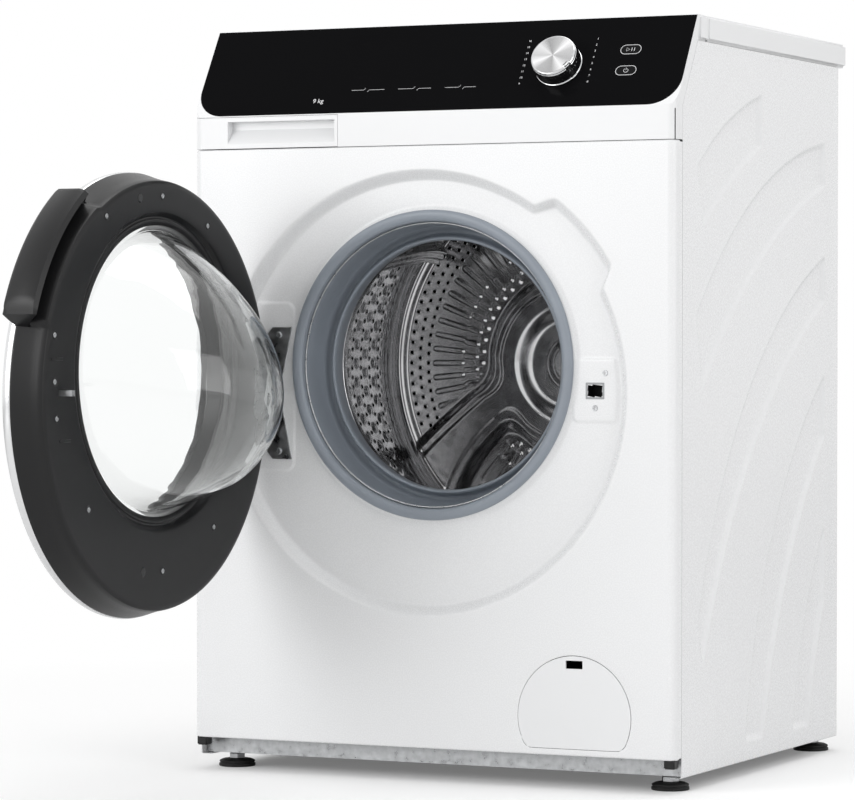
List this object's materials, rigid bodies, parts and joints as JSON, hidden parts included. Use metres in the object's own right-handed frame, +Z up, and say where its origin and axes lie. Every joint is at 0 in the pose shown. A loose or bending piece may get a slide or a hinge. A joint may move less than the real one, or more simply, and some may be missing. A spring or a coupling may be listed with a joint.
{
  "type": "front load washing machine",
  "caption": "Front load washing machine with its round door swung open, a rotary programme knob, a detergent drawer, a sprung tub with a belt driven drum, and a drain pump.",
  "frame": {"origin": "on the floor, midway between the four feet", "axes": "+X to the right as seen from the front, +Y to the back, +Z up; the door stands open toward -Y"},
  "size_m": [0.5986, 1.0274, 0.85],
  "materials": {
    "white_steel": "smooth white enamel",
    "white_plastic": "satin white",
    "worktop_board": "white laminate on board",
    "black_gloss": "piano black",
    "black_plastic": "satin black",
    "silver_trim": "silver lacquer",
    "spun_metal": "spun and brushed",
    "key_black": "gloss",
    "window_glass": "clear",
    "grey_rubber": "smooth blue grey",
    "black_rubber": "matt",
    "stainless": "polished",
    "zinc_steel": "zinc plated",
    "cast_alloy": "as cast",
    "concrete": "cast concrete",
    "tub_plastic": "grey moulded",
    "grey_plastic": "moulded",
    "circuit_green": "lacquered board"
  },
  "bodies": {
    "cabinet": {"left_side_panel": "white_steel", "right_side_panel": "white_steel", "rear_panel": "white_steel", "rear_cover": "white_plastic", "front_panel": "white_steel", "worktop": "worktop_board", "control_fascia": "white_plastic", "control_panel": "black_gloss", "control_board": "circuit_green", "dispenser_housing": "white_plastic", "inlet_valve": "white_plastic", "inlet_hose": "grey_plastic", "door_lock": "black_plastic", "front_screws": "zinc_steel", "hinge_bracket": "zinc_steel", "drain_pump": "grey_plastic", "drain_pipe": "grey_plastic", "mains_gland": "black_plastic", "gasket": "grey_rubber", "gasket_clamp": "zinc_steel", "suspension_springs": "zinc_steel", "top_rails": "zinc_steel", "base_rails": "zinc_steel", "damper_bodies": "grey_plastic"},
    "tub": {"tub_front": "tub_plastic", "tub_rear": "tub_plastic", "front_counterweight": "concrete", "upper_counterweight": "concrete", "drive_motor": "cast_alloy", "heater": "stainless", "damper_rods": "zinc_steel", "drum_bearings": "zinc_steel", "drive_belt": "black_rubber", "sump_hose": "black_rubber", "fill_bellows": "black_rubber"},
    "drum": {"drum_front": "stainless", "drum_shell": "stainless", "drum_back": "stainless", "drum_lifters": "stainless", "drum_spider": "cast_alloy", "drum_shaft": "zinc_steel", "drum_pulley": "cast_alloy"},
    "motor_rotor": {"motor_pulley": "zinc_steel"},
    "door": {"door_rim": "silver_trim", "door_frame": "black_plastic", "door_glass": "window_glass", "hinge_arm": "cast_alloy"},
    "hook": {"door_hook": "zinc_steel"},
    "knob": {"program_knob": "spun_metal"},
    "start_button": {"start_key": "key_black"},
    "power_button": {"power_key": "key_black"},
    "drawer": {"drawer_front": "white_plastic", "drawer_tray": "white_plastic"},
    "flap": {"service_flap": "white_plastic"},
    "filter": {"pump_filter": "grey_plastic"},
    "impeller": {"pump_impeller": "black_plastic"},
    "front_left_foot": {"foot_front_left": "black_rubber"},
    "front_right_foot": {"foot_front_right": "black_rubber"},
    "rear_left_foot": {"foot_rear_left": "black_rubber"},
    "rear_right_foot": {"foot_rear_right": "black_rubber"}
  },
  "joints": [
    {"name": "door_hinge", "type": "hinge", "parent": "cabinet", "child": "door", "pos_m": [-0.222, -0.302, 0.4325], "axis": [0, 0, 1], "range_deg": [0, 91.8]},
    {"name": "hook_pivot", "type": "hinge", "parent": "door", "child": "hook", "pos_m": [-0.22317, -0.72117, 0.4375], "axis": [0, 0, 1], "range_deg": [-2, 6], "stiffness_Nm_per_rad": 0.6},
    {"name": "tub_float", "type": "slide", "parent": "cabinet", "child": "tub", "axis": [0, 0, 1], "range_m": [-0.012, 0.006], "stiffness_N_per_m": 12000, "springref_m": 0.02399, "deforming": ["gasket", "fill_bellows", "sump_hose", "suspension_springs"]},
    {"name": "drum_spin", "type": "hinge", "parent": "tub", "child": "drum", "pos_m": [0, 0.13, 0.465], "axis": [0, 1, 0], "continuous": true},
    {"name": "motor_spin", "type": "hinge", "parent": "tub", "child": "motor_rotor", "pos_m": [0.06, 0.208, 0.135], "axis": [0, 1, 0], "continuous": true},
    {"name": "knob_turn", "type": "hinge", "parent": "cabinet", "child": "knob", "pos_m": [0.147, -0.25143, 0.795], "axis": [0, -0.8545, 0.5194], "continuous": true},
    {"name": "start_press", "type": "slide", "parent": "cabinet", "child": "start_button", "axis": [0, 0.8545, -0.5194], "range_m": [0, 0.0012], "stiffness_N_per_m": 900, "springref_m": -0.0008},
    {"name": "power_press", "type": "slide", "parent": "cabinet", "child": "power_button", "axis": [0, 0.8545, -0.5194], "range_m": [0, 0.0012], "stiffness_N_per_m": 900, "springref_m": -0.0008},
    {"name": "drawer_slide", "type": "slide", "parent": "cabinet", "child": "drawer", "axis": [0, -1, 0], "range_m": [0, 0.2]},
    {"name": "flap_hinge", "type": "hinge", "parent": "cabinet", "child": "flap", "pos_m": [0.178, -0.279, 0.046], "axis": [1, 0, 0], "range_deg": [0, 88]},
    {"name": "filter_turn", "type": "hinge", "parent": "cabinet", "child": "filter", "pos_m": [0.178, -0.26, 0.086], "axis": [0, 1, 0], "range_deg": [-90, 0]},
    {"name": "impeller_spin", "type": "hinge", "parent": "cabinet", "child": "impeller", "pos_m": [0.178, -0.138, 0.086], "axis": [0, 1, 0], "continuous": true},
    {"name": "front_left_foot_turn", "type": "hinge", "parent": "cabinet", "child": "front_left_foot", "pos_m": [-0.27, -0.226, 0.01], "axis": [0, 0, 1], "continuous": true},
    {"name": "front_right_foot_turn", "type": "hinge", "parent": "cabinet", "child": "front_right_foot", "pos_m": [0.27, -0.226, 0.01], "axis": [0, 0, 1], "continuous": true},
    {"name": "rear_left_foot_turn", "type": "hinge", "parent": "cabinet", "child": "rear_left_foot", "pos_m": [-0.27, 0.226, 0.01], "axis": [0, 0, 1], "continuous": true},
    {"name": "rear_right_foot_turn", "type": "hinge", "parent": "cabinet", "child": "rear_right_foot", "pos_m": [0.27, 0.226, 0.01], "axis": [0, 0, 1], "continuous": true}
  ],
  "couplings": [
    {"joint": "motor_spin", "follows": "drum_spin", "ratio": 13.621}
  ]
}
